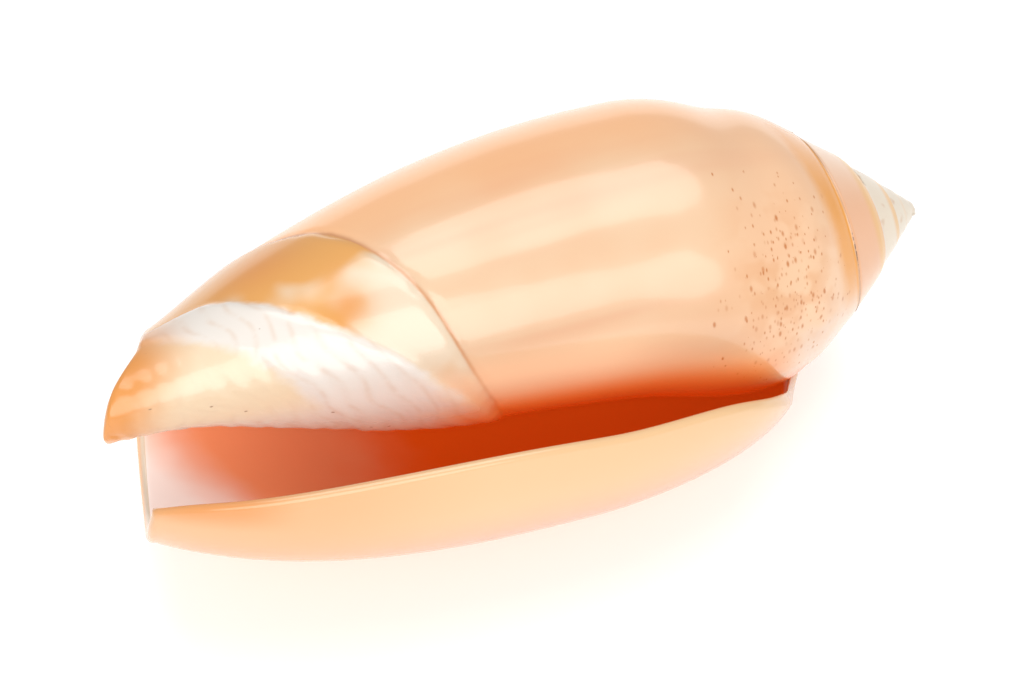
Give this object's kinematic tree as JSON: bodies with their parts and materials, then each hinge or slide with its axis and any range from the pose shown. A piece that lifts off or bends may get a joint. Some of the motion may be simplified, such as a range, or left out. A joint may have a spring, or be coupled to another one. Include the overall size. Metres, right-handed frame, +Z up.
{
  "type": "olive shell",
  "caption": "Glossy peach olive shell, a coiled cylinder with a low spire and a long open aperture, lying on its back.",
  "frame": {"origin": "middle of the shell's box on the plane it rests on", "axes": "+X along the shell towards the apex, +Z up, aperture facing -Y and up"},
  "size_m": [0.0596, 0.0282, 0.0239],
  "materials": {
    "shell": "glossy natural shell"
  },
  "bodies": {
    "root": {"shell": "shell"}
  },
  "joints": []
}
